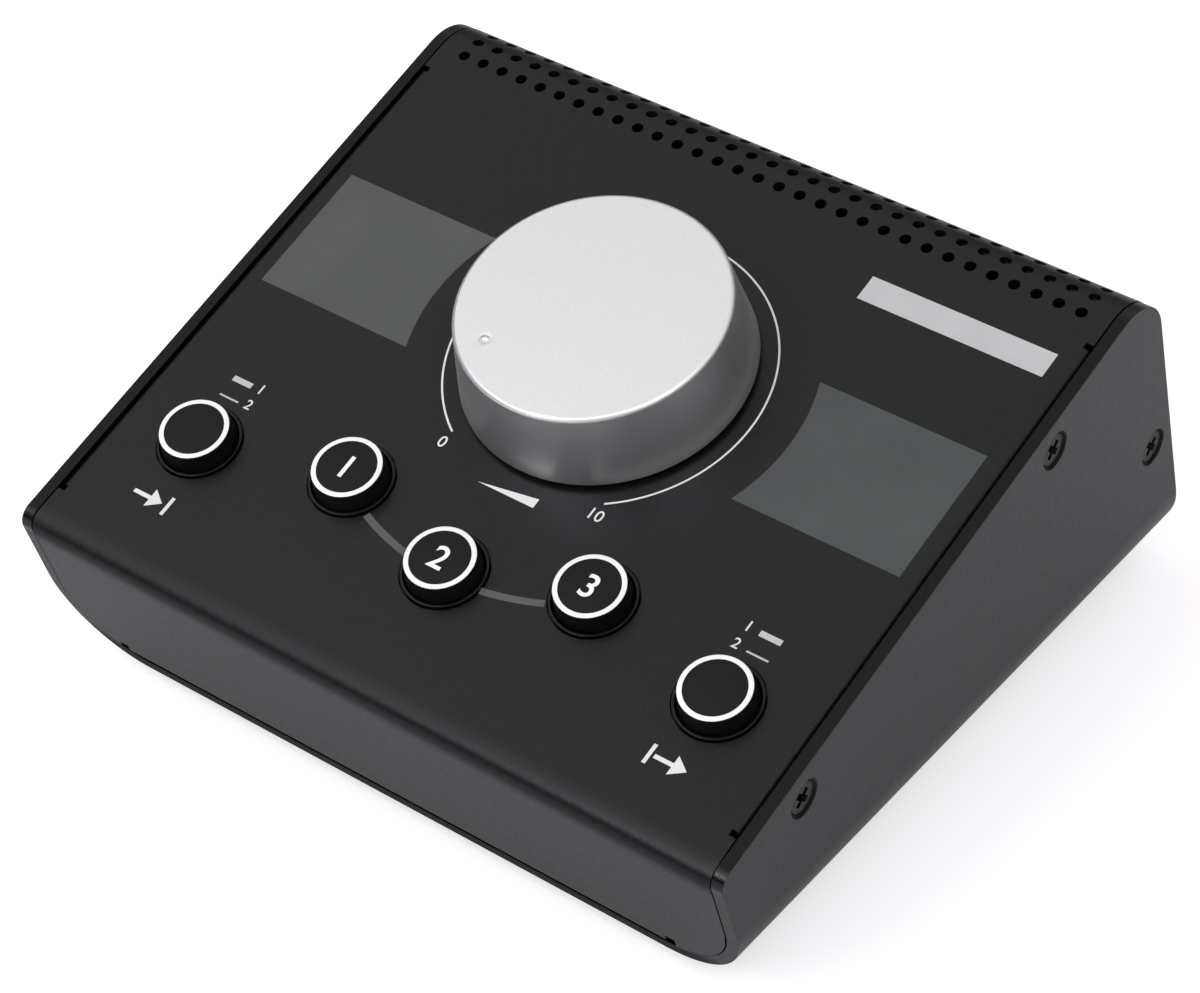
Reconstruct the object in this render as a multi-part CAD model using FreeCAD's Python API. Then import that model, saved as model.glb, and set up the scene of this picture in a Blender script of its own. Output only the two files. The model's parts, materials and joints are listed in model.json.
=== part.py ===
import FreeCAD, Part

import math
import os

# Desktop monitor controller: a sloping steel desk box with one large volume knob,
# five push buttons, a row of ventilation holes and audio sockets in the rear face.
# All sizes are in millimetres. The part's frame has +X to the user's right, +Y to the
# rear and +Z up, with its origin under the middle of the outer size, level with the feet.
# The control panel has a frame of its own: u to the right, v up the slope, n out of the
# panel, with its origin where the knob's axis meets the panel's outer face.

Vector = FreeCAD.Vector

# ---- clearances ----
seat_gap = 0.1            # between faces that are screwed or glued together
seam_gap = 0.4            # visible seam between the cover and the chassis sides
moving_gap = 0.35         # round the button caps and the plungers
shaft_clearance = 0.05    # radial, between the volume shaft and its bushing
hole_clearance = 0.2      # radial, round screws and bushings
end_play = 0.4            # between turning discs and the housing round them

# ---- desk box ----
tilt_deg = 18.0           # slope of the control panel
outer_width = 168.2       # over the chassis sides
front_height = 40.5       # height of the front face, along the face
panel_front = 85.6        # knob axis to the front face, along the panel
panel_rear = 66.1         # knob axis to the rear face, along the panel
front_bend = 3.4          # outer radius, front face to panel
rear_bend = 13.0          # outer radius, panel to rear face
foot_height = 4.0

# ---- lower chassis: one plate bent into a trough ----
chassis_wall = 2.5
chassis_bend = 19.5       # outer radius of the two long lower edges
chassis_setback = 0.1     # how far its front and rear edges lie behind the cover's faces

# ---- upper cover: one sheet bent over front, panel and rear ----
sheet = 1.2
hem_bend = 2.0            # outer radius of the cover's two lower hems
hem_depth = 14.0
hem_left_inset = 12.9     # from the cover's side edges to the hems' ends
hem_right_inset = 16.05
side_flange_bend = sheet + 0.2        # outer radius, folded tight
relief_width = 1.4        # slots at the ends of folded edges
relief_depth = side_flange_bend + 0.2
hem_relief_width = 2.2
hem_relief_rise = 1.1     # how far the slots go past the hem's bend
side_flange_depth = 15.0
side_flange_start = -74.8
side_flange_end = 45.5
rear_flange_top = -30.0
rear_flange_bottom = -62.0

# ---- ventilation holes ----
vent_pitch = 5.0
vent_side_margin = 5.5     # least distance from the cover's side edge to a hole's centre
vent_rows = 5
vent_radius = 1.25
vent_first_row = 52.75     # from the knob axis, up the panel

# ---- screws ----
side_screw_radius = 1.95
side_head_radius = 4.0
side_head_height = 2.0
side_screw_length = 9.0
upper_screw_depth = 7.6        # screw line below the panel
front_screw_place = -60.2
middle_screw_place = 26.8
rear_screw_inset = 7.0         # from the rear face
rear_screw_depth = 46.0        # below the panel
clinch_nut_radius = 3.4
clinch_nut_height = 2.2
hem_screw_radius = 1.45
hem_head_radius = 2.9
hem_head_height = 1.5
hem_screw_length = 7.0
hem_screw_inset = 20.15        # from the right hem's end
recess_width = 0.9
recess_depth = 1.3

# ---- feet ----
foot_radius = 7.0
foot_base_radius = 6.2
foot_side_inset = 22.1
foot_end_inset = 22.0
foot_screw_radius = 1.45
foot_head_radius = 2.8
foot_head_height = 1.8
foot_recess_depth = 2.4
foot_screw_grip = 2.0          # how far the screw stands out above the chassis plate

# ---- volume knob ----
knob_gap = 1.3                 # knob's lower edge above the panel
knob_top = 18.8                # knob's top above the panel
knob_base_radius = 29.9
knob_top_radius = 27.5
knob_edge_round = 0.9
knob_wall = 2.4
knob_crown = 3.0
dimple_place = 21.6            # from the knob's axis
dimple_radius = 1.3
dimple_depth = 0.45
dimple_rest_deg = 40.5         # clockwise from straight down to the dimple at rest
core_disc_radius = 23.0
core_disc_thickness = 2.0
hub_radius = 6.6
hub_start = 5.2
rib_count = 6
rib_thickness = 1.6
rib_drop = 4.0

# ---- volume potentiometer ----
shaft_radius = 3.0
shaft_top = 14.4
shaft_flat = 1.5               # how much the flat takes off the shaft
bushing_radius = 4.5
bushing_top = 4.0
shoulder_radius = 7.5
pot_top = -4.6
pot_side = 26.0
pot_wall = 1.5
wiper_radius = 10.0
wiper_thickness = 2.0
wiper_places = (-10.0, -16.0)
washer_radius = 7.4
washer_thickness = 0.5
pot_nut_flats = 11.0
pot_nut_height = 2.0
terminal_count = 3
terminal_pitch = 5.0
terminal_width = 1.2
terminal_thickness = 0.5
terminal_length = 2.4

# ---- push buttons ----
button_arc_radius = 55.0       # the three middle buttons lie on an arc about the knob
button_arc_step_deg = 32.0
select_button_inset = 18.8     # from the cover's side edge
select_button_v = -53.8
cap_top = 4.4
cap_top_radius = 7.25
cap_radius = 7.75              # at the panel and below it
cap_edge_round = 0.35
cap_skirt = -3.6
cap_wall = 1.1
cap_crown = 1.8
stem_radius = 3.2
stem_end = -5.4
plunger_side = 3.2
plunger_top = -1.0
plunger_end = -17.5
button_travel = 2.5
bezel_wall = 0.6
bezel_moat = 0.35              # open ring between the bezel and the edge of its hole
bezel_rim_height = 0.65
bezel_depth = -3.0
bezel_flange_width = 1.2       # how far the flange under the sheet reaches past the hole
bezel_flange_thickness = 0.8
switch_side = 10.0
switch_top = -12.0
switch_wall = 1.2

# ---- control board, under the panel ----
board_thickness = 1.6
control_board_top = -22.0
board_side_gap = 1.1           # between a board's edge and the tips of the side screws
control_board_front = -72.0
control_board_rear = 22.0
rear_pillar_inset = 5.0        # from the board's edge
rear_pillar_v = 14.0
front_pillar_u = 36.0
front_pillar_v = -64.0
pillar_flats = 5.5
pillar_bore = 1.25
pillar_bore_depth = 7.0
board_screw_radius = 1.2
board_screw_head = 2.6
board_screw_head_height = 1.6
board_screw_length = 6.0
resistor_radius = 1.15
resistor_length = 6.3
resistor_lead_radius = 0.3
resistor_lead_reach = 1.6
resistor_pitch = 15.0
resistor_count = 7
resistor_rows = (-20.0, -30.0)

# ---- jacks and their board, behind the rear face ----
jack_row_depth = 50.0          # jack axes below the panel
jacks_per_side = 4
jack_edge_margin = 2.0         # from the jack board's edge to the last jack
jack_gap = 1.5                 # between two jacks
mini_jack_gap = 3.0            # between the small jack and its neighbours
jack_body_height = 15.0
jack_body_depth = 20.0
jack_washer_width = 2.5        # from the bushing to the washer's edge
jack_bore_radius = 3.2
jack_bore_length = 24.0
jack_washer_gap = 0.5          # between two washers
jack_washer_thickness = 0.8
jack_nut_inset = 0.2           # nut corners inside the washer's edge
jack_nut_height = 2.4
jack_nose = 0.8                # bushing beyond its nut
mini_body_side = 9.0
mini_bushing_radius = 3.2
mini_bore_radius = 1.8
mini_bore_length = 14.0
mini_nut_radius = 4.6
mini_nut_height = 1.8
jack_board_half_height = 11.0

# ---- ribbon cable and its two headers ----
ribbon_inset = 30.0            # from the boards' left edge to the middle of the cable
ribbon_start_v = 12.0
ribbon_width = 20.0
ribbon_thickness = 0.9
ribbon_bend = 8.0
header_width = 24.0
header_thickness = 6.0
header_height = 8.5

# ---- values worked out from the sizes above ----
tilt = math.radians(tilt_deg)
sin_tilt, cos_tilt = math.sin(tilt), math.cos(tilt)
panel_length = panel_front + panel_rear
base_length = panel_length / cos_tilt
rear_height = front_height + panel_length * math.tan(tilt)
outer_half = outer_width / 2
chassis_inner_half = outer_half - chassis_wall
cover_half = chassis_inner_half - seam_gap
cover_lift = chassis_wall + seat_gap
front_bend_center_y = -front_height * sin_tilt + front_bend * (cos_tilt + sin_tilt)
foremost_y = front_bend_center_y - front_bend
rearmost_y = base_length - chassis_setback / cos_tilt
front_edge_y = -(foremost_y + rearmost_y) / 2
underside_z = foot_height
knob_y = front_edge_y - front_height * sin_tilt + panel_front * cos_tilt
knob_z = underside_z + front_height * cos_tilt + panel_front * sin_tilt
hem_ends = {-1: cover_half - hem_left_inset, 1: cover_half - hem_right_inset}
board_half_width = outer_half - side_screw_length - board_side_gap
ribbon_place = ribbon_inset - board_half_width
jack_start = mini_body_side / 2 + mini_jack_gap
jack_span = board_half_width - jack_edge_margin - jack_start
jack_body_width = (jack_span - (jacks_per_side - 1) * jack_gap) / jacks_per_side
jack_pitch = jack_body_width + jack_gap
jack_first_place = jack_start + jack_body_width / 2
jack_washer_radius = (jack_pitch - jack_washer_gap) / 2
jack_nut_flats = (jack_washer_radius - jack_nut_inset) * math.sqrt(3)
jack_bushing_radius = jack_washer_radius - jack_washer_width
vent_steps = int((cover_half - vent_side_margin) / vent_pitch)
hole_radius = cap_radius + moving_gap + bezel_wall + bezel_moat
rear_inner_v = panel_rear - sheet
jack_board_v = rear_inner_v - seat_gap - jack_body_depth
pot_floor = control_board_top + seat_gap

panel_place = FreeCAD.Placement(
    Vector(0, knob_y, knob_z), FreeCAD.Rotation(Vector(1, 0, 0), tilt_deg)
)
out_of_panel = Vector(0, 0, 1)
to_rear = Vector(0, 1, 0)
to_right = Vector(1, 0, 0)


# ---- helpers ----
def on_panel(shape):
    """Carry a shape from the panel's frame to the part's frame."""
    placed = shape.copy()
    placed.Placement = panel_place.multiply(shape.Placement)
    return placed


def save(name, shapes):
    """Write one node: a single solid, or a group of separate solids."""
    solids = []
    for shape in shapes:
        solids.extend(shape.Solids)
    node = solids[0] if len(solids) == 1 else Part.makeCompound(solids)
    node.exportStep(os.path.join("parts", name + ".step"))


def cylinder(radius, start, end, u=0.0, v=0.0):
    """Upright cylinder in the panel's frame, between two heights."""
    return Part.makeCylinder(radius, end - start, Vector(u, v, start), out_of_panel)


def block(u_low, u_high, v_low, v_high, n_low, n_high):
    corner = Vector(u_low, v_low, n_low)
    return Part.makeBox(u_high - u_low, v_high - v_low, n_high - n_low, corner)


def hexagon(flats, start, end, u=0.0, v=0.0):
    corner_radius = flats / math.sqrt(3)
    points = []
    for side in range(7):
        angle = math.radians(60 * side)
        points.append(Vector(u + corner_radius * math.cos(angle),
                             v + corner_radius * math.sin(angle), start))
    return Part.Face(Part.makePolygon(points)).extrude(Vector(0, 0, end - start))


def turned(points):
    """Revolve a closed outline of (radius, height) points about the n axis."""
    outline = [Vector(radius, 0, height) for radius, height in points]
    outline.append(outline[0])
    face = Part.Face(Part.makePolygon(outline))
    return face.revolve(Vector(0, 0, 0), out_of_panel, 360)


def line_meet(point_a, way_a, point_b, way_b):
    """Meeting point of two lines in a plane."""
    cross = way_a[0] * way_b[1] - way_a[1] * way_b[0]
    along = ((point_b[0] - point_a[0]) * way_b[1] - (point_b[1] - point_a[1]) * way_b[0]) / cross
    return (point_a[0] + way_a[0] * along, point_a[1] + way_a[1] * along)


def unit(start, end):
    length = math.dist(start, end)
    return ((end[0] - start[0]) / length, (end[1] - start[1]) / length)


def shifted_path(points, shift):
    """A path moved sideways to its right by the shift, with its corners kept."""
    ways = [unit(a, b) for a, b in zip(points, points[1:])]
    moved = [(a[0] + way[1] * shift, a[1] - way[0] * shift) for a, way in zip(points, ways)]
    last = (points[-1][0] + ways[-1][1] * shift, points[-1][1] - ways[-1][0] * shift)
    corners = [line_meet(moved[i], ways[i], moved[i + 1], ways[i + 1]) for i in range(len(ways) - 1)]
    return [moved[0]] + corners + [last]


def rounded_edges(points, radii, place):
    """Edges of an open path whose inner corners are rounded; place turns (a, b) into a Vector."""
    edges = []
    start = points[0]
    for corner, radius, before, after in zip(points[1:-1], radii, points, points[2:]):
        back, ahead = unit(corner, before), unit(corner, after)
        half = math.acos(back[0] * ahead[0] + back[1] * ahead[1]) / 2
        reach = radius / math.tan(half)
        first = (corner[0] + back[0] * reach, corner[1] + back[1] * reach)
        second = (corner[0] + ahead[0] * reach, corner[1] + ahead[1] * reach)
        inward = unit(corner, ((first[0] + second[0]) / 2, (first[1] + second[1]) / 2))
        depth = radius / math.sin(half) - radius
        middle = (corner[0] + inward[0] * depth, corner[1] + inward[1] * depth)
        edges.append(Part.LineSegment(place(start), place(first)).toShape())
        edges.append(Part.Arc(place(first), place(middle), place(second)).toShape())
        start = second
    edges.append(Part.LineSegment(place(start), place(points[-1])).toShape())
    return edges


def bent_sheet(points, radii, thickness, place, sweep):
    """A folded sheet: the path is its outer face, and its wall lies to the right of it."""
    inner = shifted_path(points, thickness)
    inner_radii = [radius - thickness for radius in radii]
    edges = rounded_edges(points, radii, place) + rounded_edges(inner, inner_radii, place)
    edges.append(Part.LineSegment(place(points[0]), place(inner[0])).toShape())
    edges.append(Part.LineSegment(place(points[-1]), place(inner[-1])).toShape())
    return Part.Face(Part.Wire(Part.__sortEdges__(edges))).extrude(sweep)


def cross_recess(n_top, u=0.0, v=0.0):
    """Cutter for a cross recess in a screw head whose top is at n_top."""
    arm = recess_width / 2
    reach = recess_width * 1.9
    low = n_top - recess_depth
    across = block(u - reach, u + reach, v - arm, v + arm, low, n_top + seat_gap)
    along = block(u - arm, u + arm, v - reach, v + reach, low, n_top + seat_gap)
    return across.fuse(along)


def countersunk_screw(shank, head, head_height, length):
    """Screw along n with its flat head's top at 0 and its tip at -length."""
    cone = Part.makeCone(shank, head, head_height, Vector(0, 0, -head_height), out_of_panel)
    body = cone.fuse(cylinder(shank, -length, -head_height))
    return body.cut(cross_recess(0.0))


def countersink(shank, head, head_height, depth):
    """Cutter for a countersunk hole along n whose mouth is at 0."""
    wide, narrow = head + hole_clearance, shank + hole_clearance
    cone = Part.makeCone(narrow, wide, head_height, Vector(0, 0, -head_height), out_of_panel)
    return cone.fuse(cylinder(narrow, -depth, 0.0)).fuse(cylinder(wide, 0.0, seat_gap))


def aimed(shape, point, direction):
    """Turn a shape made along n so that n points along direction, and move it to the point."""
    placed = shape.copy()
    placed.Placement = FreeCAD.Placement(point, FreeCAD.Rotation(out_of_panel, direction))
    return placed


def underside_n(v, lift=0.0):
    """Height, in the panel's frame, of the plane that lies lift above the box's underside."""
    return -front_height - (v + panel_front) * math.tan(tilt) + lift / cos_tilt


def side_view(u, inset=0.0):
    """Outline of the desk box seen from the side, as one closed wire at the given u."""
    front, rear = -panel_front + inset, panel_rear - inset
    points = [(front, underside_n(front)), (front, 0.0), (rear, 0.0), (rear, underside_n(rear))]
    edges = rounded_edges(points, [front_bend, rear_bend], lambda p: Vector(u, p[0], p[1]))
    ends = [Vector(u, *points[-1]), Vector(u, *points[0])]
    edges.append(Part.LineSegment(*ends).toShape())
    return Part.Wire(Part.__sortEdges__(edges))


def trough(half, lift, bend, y_low, y_high, top):
    """Solid with a flat bottom and two rounded long lower edges, in the part's frame."""
    low = underside_z + lift
    points = [(-half, top), (-half, low), (half, low), (half, top)]
    edges = rounded_edges(points, [bend, bend], lambda p: Vector(p[0], y_low, p[1]))
    edges.append(Part.LineSegment(Vector(half, y_low, top), Vector(-half, y_low, top)).toShape())
    face = Part.Face(Part.Wire(Part.__sortEdges__(edges)))
    return face.extrude(Vector(0, y_high - y_low, 0))


# ---- places that several pieces share ----
def button_places():
    """Names and (u, v) places of the five push buttons."""
    select_button_u = cover_half - select_button_inset
    places = {"source": (-select_button_u, select_button_v)}
    for name, step in (("mono", -1), ("mute", 0), ("dim", 1)):
        angle = math.radians(button_arc_step_deg * step)
        places[name] = (button_arc_radius * math.sin(angle), -button_arc_radius * math.cos(angle))
    places["monitor"] = (select_button_u, select_button_v)
    return places


def jack_places():
    """Names and u places of the eight large jacks, from the user's left to right."""
    names = ["source_a_left", "source_a_right", "source_b_left", "source_b_right",
             "monitor_a_left", "monitor_a_right", "monitor_b_left", "monitor_b_right"]
    right_side = [jack_first_place + jack_pitch * i for i in range(jacks_per_side)]
    return dict(zip(names, [-u for u in reversed(right_side)] + right_side))


def side_screw_places():
    """(v, n) of the three screws in each chassis side."""
    return [(front_screw_place, -upper_screw_depth), (middle_screw_place, -upper_screw_depth),
            (panel_rear - rear_screw_inset, -rear_screw_depth)]


def hem_screw_places():
    """(x, y) of the screws that hold the cover's hems to the chassis plate."""
    front = front_edge_y + hem_depth / 2 + hem_bend
    rear = front_edge_y + base_length - hem_depth / 2 - hem_bend
    spread = hem_ends[1] - hem_screw_inset
    return [(side * spread, y) for side in (-1, 1) for y in (front, rear)]


def foot_places():
    front = front_edge_y + foot_end_inset
    rear = front_edge_y + base_length - foot_end_inset
    spread = outer_half - foot_side_inset
    return {"front_left": (-spread, front), "front_right": (spread, front),
            "rear_left": (-spread, rear), "rear_right": (spread, rear)}


def pillar_places():
    rear_pillar_u = board_half_width - rear_pillar_inset
    return [(-rear_pillar_u, rear_pillar_v), (rear_pillar_u, rear_pillar_v),
            (-front_pillar_u, front_pillar_v), (front_pillar_u, front_pillar_v)]


# ---- desk box ----
def lower_chassis():
    """Bent plate that makes both sides and the bottom."""
    y_low, y_high = front_edge_y - rear_height, front_edge_y + base_length + rear_height
    top = underside_z + 2 * rear_height
    outer = trough(outer_half, 0.0, chassis_bend, y_low, y_high, top)
    hollow_bend = chassis_bend - chassis_wall
    hollow = trough(chassis_inner_half, chassis_wall, hollow_bend, y_low, y_high, top)
    outline = Part.Face(side_view(-outer_half, chassis_setback))
    profile = on_panel(outline.extrude(Vector(outer_width, 0, 0)))
    shell = outer.cut(hollow).common(profile)
    for v, n in side_screw_places():
        for side in (-1, 1):
            cutter = countersink(side_screw_radius, side_head_radius, side_head_height,
                                 chassis_wall + seam_gap)
            cutter = aimed(cutter, Vector(side * outer_half, v, n), Vector(side, 0, 0))
            shell = shell.cut(on_panel(cutter))
    for x, y in hem_screw_places():
        cutter = countersink(hem_screw_radius, hem_head_radius, hem_head_height, 2 * chassis_wall)
        shell = shell.cut(aimed(cutter, Vector(x, y, underside_z), Vector(0, 0, -1)))
    for x, y in foot_places().values():
        hole = foot_screw_radius + hole_clearance
        shell = shell.cut(Part.makeCylinder(hole, 3 * chassis_wall,
                                            Vector(x, y, underside_z - chassis_wall)))
    return shell


def vent_cutters():
    """Rows of holes that follow the cover over its rear bend."""
    flat_left = panel_rear - rear_bend - vent_first_row
    cutters = []
    for row in range(vent_rows):
        past_bend_start = row * vent_pitch - flat_left
        angle = min(max(past_bend_start / rear_bend, 0.0), math.pi / 2)
        beyond = max(past_bend_start - rear_bend * math.pi / 2, 0.0)
        before = min(past_bend_start, 0.0)
        way = Vector(0, math.sin(angle), math.cos(angle))
        center = Vector(0, panel_rear - rear_bend + before, -rear_bend - beyond)
        for column in range(-vent_steps, vent_steps + 1):
            u = column * vent_pitch
            start = center + way * (rear_bend - 2 * sheet) + Vector(u, 0, 0)
            cutters.append(Part.makeCylinder(vent_radius, 3 * sheet, start, way))
    return Part.makeCompound(cutters)


def side_fold(side):
    """The two folded edges on one side of the cover, and what they need cut away."""
    edge, root = side * cover_half, side * (cover_half - 2 * side_flange_bend)
    reach = side_flange_depth

    def panel_point(p):
        return Vector(p[0], side_flange_start, p[1])

    def rear_point(p):
        return Vector(p[0], p[1], rear_flange_bottom)

    panel_path = [(root, 0.0), (edge, 0.0), (edge, -reach)]
    rear_path = [(root, panel_rear), (edge, panel_rear), (edge, panel_rear - reach)]
    if side < 0:
        panel_path, rear_path = panel_path[::-1], rear_path[::-1]
    span = side_flange_end - side_flange_start
    rear_span = rear_flange_top - rear_flange_bottom
    folds = [bent_sheet(panel_path, [side_flange_bend], sheet, panel_point, Vector(0, span, 0)),
             bent_sheet(rear_path, [side_flange_bend], sheet, rear_point, Vector(0, 0, rear_span))]
    low_u, high_u = sorted((root, side * (cover_half + seam_gap)))
    cuts = [block(low_u, high_u, side_flange_start, side_flange_end, -2 * sheet, sheet),
            block(low_u, high_u, panel_rear - 2 * sheet, panel_rear + sheet,
                  rear_flange_bottom, rear_flange_top)]
    return folds, cuts


def side_reliefs(side):
    """Cutters for the slots at the ends of the folded edges."""
    inner = side * (cover_half - relief_depth)
    low_u, high_u = sorted((inner, side * (cover_half + seam_gap)))
    slots = []
    for v in (side_flange_start - relief_width, side_flange_end):
        slots.append(block(low_u, high_u, v, v + relief_width, -2 * sheet, sheet))
    for n in (rear_flange_bottom - relief_width, rear_flange_top):
        slots.append(block(low_u, high_u, panel_rear - 2 * sheet, panel_rear + sheet,
                           n, n + relief_width))
    return slots


def hem_sides():
    """Cutters that end the lower hems, and the flat sheet that goes on past each slot."""
    cuts, flats = [], []
    for face_v, way, turn in ((-panel_front, 1, 90 - tilt_deg), (panel_rear, -1, 90 + tilt_deg)):
        low = underside_n(face_v, cover_lift)
        bottom = low - hem_depth
        top = low + hem_bend * math.tan(math.radians(turn / 2)) + hem_relief_rise
        cut_v = sorted((face_v - way * sheet, face_v + way * (hem_depth + hem_bend)))
        flat_v = sorted((face_v, face_v + way * sheet))
        for side, hem_end in hem_ends.items():
            cut_u = sorted((side * hem_end, side * (cover_half + seam_gap)))
            flat_u = sorted((side * (hem_end + hem_relief_width), side * cover_half))
            cuts.append(block(*cut_u, *cut_v, bottom, top))
            flats.append(block(*flat_u, *flat_v, bottom, top))
    return cuts, flats


def top_cover():
    """Sheet folded over the front, the panel and the rear, with hems and side flanges."""
    low_front, low_rear = underside_n(-panel_front, cover_lift), underside_n(panel_rear, cover_lift)
    hem_end = (-panel_front + hem_depth * cos_tilt, low_front - hem_depth * sin_tilt)
    rear_hem_end = (panel_rear - hem_depth * cos_tilt, low_rear + hem_depth * sin_tilt)
    path = [hem_end, (-panel_front, low_front), (-panel_front, 0.0),
            (panel_rear, 0.0), (panel_rear, low_rear), rear_hem_end]
    radii = [hem_bend, front_bend, rear_bend, hem_bend]
    shell = bent_sheet(path, radii, sheet, lambda p: Vector(-cover_half, p[0], p[1]),
                       Vector(2 * cover_half, 0, 0))
    for side in (-1, 1):
        folds, cuts = side_fold(side)
        for cutter in cuts:
            shell = shell.cut(cutter)
        shell = shell.fuse(folds)
        for cutter in side_reliefs(side) + side_nut_holes(side):
            shell = shell.cut(cutter)
    cuts, flats = hem_sides()
    shell = shell.cut(cuts).fuse(flats)
    shell = shell.cut(vent_cutters())
    for u, v in button_places().values():
        shell = shell.cut(cylinder(hole_radius, -2 * sheet, sheet, u, v))
    shell = shell.cut(cylinder(bushing_radius + hole_clearance, -2 * sheet, sheet))
    for u in jack_places().values():
        shell = shell.cut(rear_hole(u, jack_bushing_radius + hole_clearance))
    shell = shell.cut(rear_hole(0.0, mini_bushing_radius + hole_clearance))
    shell = on_panel(shell).common(cover_nest())
    for x, y in hem_screw_places():
        hole = Part.makeCylinder(hem_screw_radius + hole_clearance, 3 * chassis_wall,
                                 Vector(x, y, underside_z))
        shell = shell.cut(hole)
    return shell.removeSplitter()


def cover_nest():
    """Space inside the chassis that the cover fills, less the seam."""
    y_low, y_high = front_edge_y - rear_height, front_edge_y + base_length + rear_height
    bend = chassis_bend - chassis_wall - seam_gap
    return trough(cover_half, cover_lift, bend, y_low, y_high, underside_z + 2 * rear_height)


def rear_hole(u, radius):
    """Cutter through the rear face at the jacks' height."""
    start = Vector(u, panel_rear - 2 * sheet, -jack_row_depth)
    return Part.makeCylinder(radius, 3 * sheet, start, to_rear)


def side_nut_holes(side):
    holes = []
    for v, n in side_screw_places():
        start = Vector(side * (cover_half - 2 * sheet), v, n)
        hole = side_screw_radius + hole_clearance
        holes.append(Part.makeCylinder(hole, 3 * sheet, start, Vector(side, 0, 0)))
    return holes


def side_screws():
    screws = []
    for side in (-1, 1):
        for v, n in side_screw_places():
            screw = countersunk_screw(side_screw_radius, side_head_radius, side_head_height,
                                      side_screw_length)
            screws.append(on_panel(aimed(screw, Vector(side * outer_half, v, n),
                                         Vector(side, 0, 0))))
    return screws


def clinch_nuts():
    """Round nuts fixed behind the cover's side flanges; each takes one side screw."""
    nuts = []
    outer = cover_half - sheet
    for side in (-1, 1):
        for v, n in side_screw_places():
            ring = cylinder(clinch_nut_radius, 0.0, clinch_nut_height)
            ring = ring.cut(cylinder(side_screw_radius + seat_gap / 2, 0.0, clinch_nut_height))
            place = Vector(side * (outer - clinch_nut_height), v, n)
            nuts.append(on_panel(aimed(ring, place, Vector(side, 0, 0))))
    return nuts


def hem_screws():
    screws = []
    for x, y in hem_screw_places():
        screw = countersunk_screw(hem_screw_radius, hem_head_radius, hem_head_height,
                                  hem_screw_length)
        screws.append(aimed(screw, Vector(x, y, underside_z), Vector(0, 0, -1)))
    return screws


def rubber_foot(x, y):
    height = foot_height - seat_gap / 2
    body = Part.makeCone(foot_base_radius, foot_radius, height, Vector(x, y, 0))
    recess = Part.makeCylinder(foot_head_radius + hole_clearance, foot_recess_depth, Vector(x, y, 0))
    bore = Part.makeCylinder(foot_screw_radius + seat_gap / 2, foot_height, Vector(x, y, 0))
    return body.cut([recess, bore])


def foot_screws():
    screws = []
    tip = underside_z + chassis_wall + foot_screw_grip
    for x, y in foot_places().values():
        head_low = foot_recess_depth - foot_head_height
        head = Part.makeCylinder(foot_head_radius, foot_head_height, Vector(x, y, head_low))
        shank = Part.makeCylinder(foot_screw_radius, tip - head_low, Vector(x, y, head_low))
        recess = aimed(cross_recess(0.0), Vector(x, y, head_low), Vector(0, 0, -1))
        screws.append(head.fuse(shank).cut(recess))
    return screws


# ---- volume knob and its potentiometer ----
def knob_cap():
    """Turned aluminium shell with a finger dimple near its edge."""
    slope = (knob_base_radius - knob_top_radius) / (knob_top - knob_gap)
    inner_top = knob_top - knob_crown
    inner_top_radius = knob_top_radius + slope * knob_crown - knob_wall
    outline = [(0.0, knob_top), (knob_top_radius, knob_top), (knob_base_radius, knob_gap),
               (knob_base_radius - knob_wall, knob_gap), (inner_top_radius, inner_top),
               (0.0, inner_top)]
    shell = turned(outline)
    rim = [edge for edge in shell.Edges
           if abs(edge.BoundBox.ZMin - knob_top) < 0.01 and edge.BoundBox.XMax > knob_top_radius - 0.1]
    shell = shell.makeFillet(knob_edge_round, rim)
    angle = math.radians(dimple_rest_deg)
    ball = (dimple_radius ** 2 + dimple_depth ** 2) / (2 * dimple_depth)
    center = Vector(-dimple_place * math.sin(angle), -dimple_place * math.cos(angle),
                    knob_top - dimple_depth + ball)
    return shell.cut(Part.makeSphere(ball, center))


def shaft_section(radius, flat, start, end):
    """Round bar with one flat along it."""
    bar = cylinder(radius, start, end)
    return bar.cut(block(-radius, radius, radius - flat, 2 * radius, start, end))


def knob_core():
    """Moulded insert glued under the cap's crown; its hub grips the shaft."""
    disc_top = knob_top - knob_crown - seat_gap
    disc_low = disc_top - core_disc_thickness
    core = cylinder(core_disc_radius, disc_low, disc_top)
    core = core.fuse(cylinder(hub_radius, hub_start, disc_low))
    for rib in range(rib_count):
        arm = block(0.0, core_disc_radius, -rib_thickness / 2, rib_thickness / 2,
                    disc_low - rib_drop, disc_low)
        arm.rotate(Vector(0, 0, 0), out_of_panel, 360.0 / rib_count * rib)
        core = core.fuse(arm)
    bore = shaft_section(shaft_radius + seat_gap / 2, shaft_flat, hub_start, shaft_top + seat_gap)
    return core.cut(bore).removeSplitter()


def pot_shaft():
    round_part = cylinder(shaft_radius, pot_floor + pot_wall + end_play, hub_start)
    return round_part.fuse(shaft_section(shaft_radius, shaft_flat, hub_start, shaft_top))


def pot_wipers():
    """Two contact discs fixed on the shaft, one for each gang."""
    discs = []
    for top in wiper_places:
        disc = cylinder(wiper_radius, top - wiper_thickness, top)
        discs.append(disc.cut(cylinder(shaft_radius + seat_gap / 5, top - wiper_thickness, top)))
    return discs


def pot_housing():
    half = pot_side / 2
    body = block(-half, half, -half, half, pot_floor, pot_top)
    cavity = cylinder(half - pot_wall, pot_floor + pot_wall, pot_top - pot_wall)
    return body.cut([cavity, cylinder(shaft_radius + end_play, pot_top - pot_wall, pot_top)])


def pot_bushing():
    shoulder = cylinder(shoulder_radius, pot_top, -sheet - seat_gap)
    sleeve = cylinder(bushing_radius, pot_top, bushing_top)
    return shoulder.fuse(sleeve).cut(cylinder(shaft_radius + shaft_clearance, pot_top, bushing_top))


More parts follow.
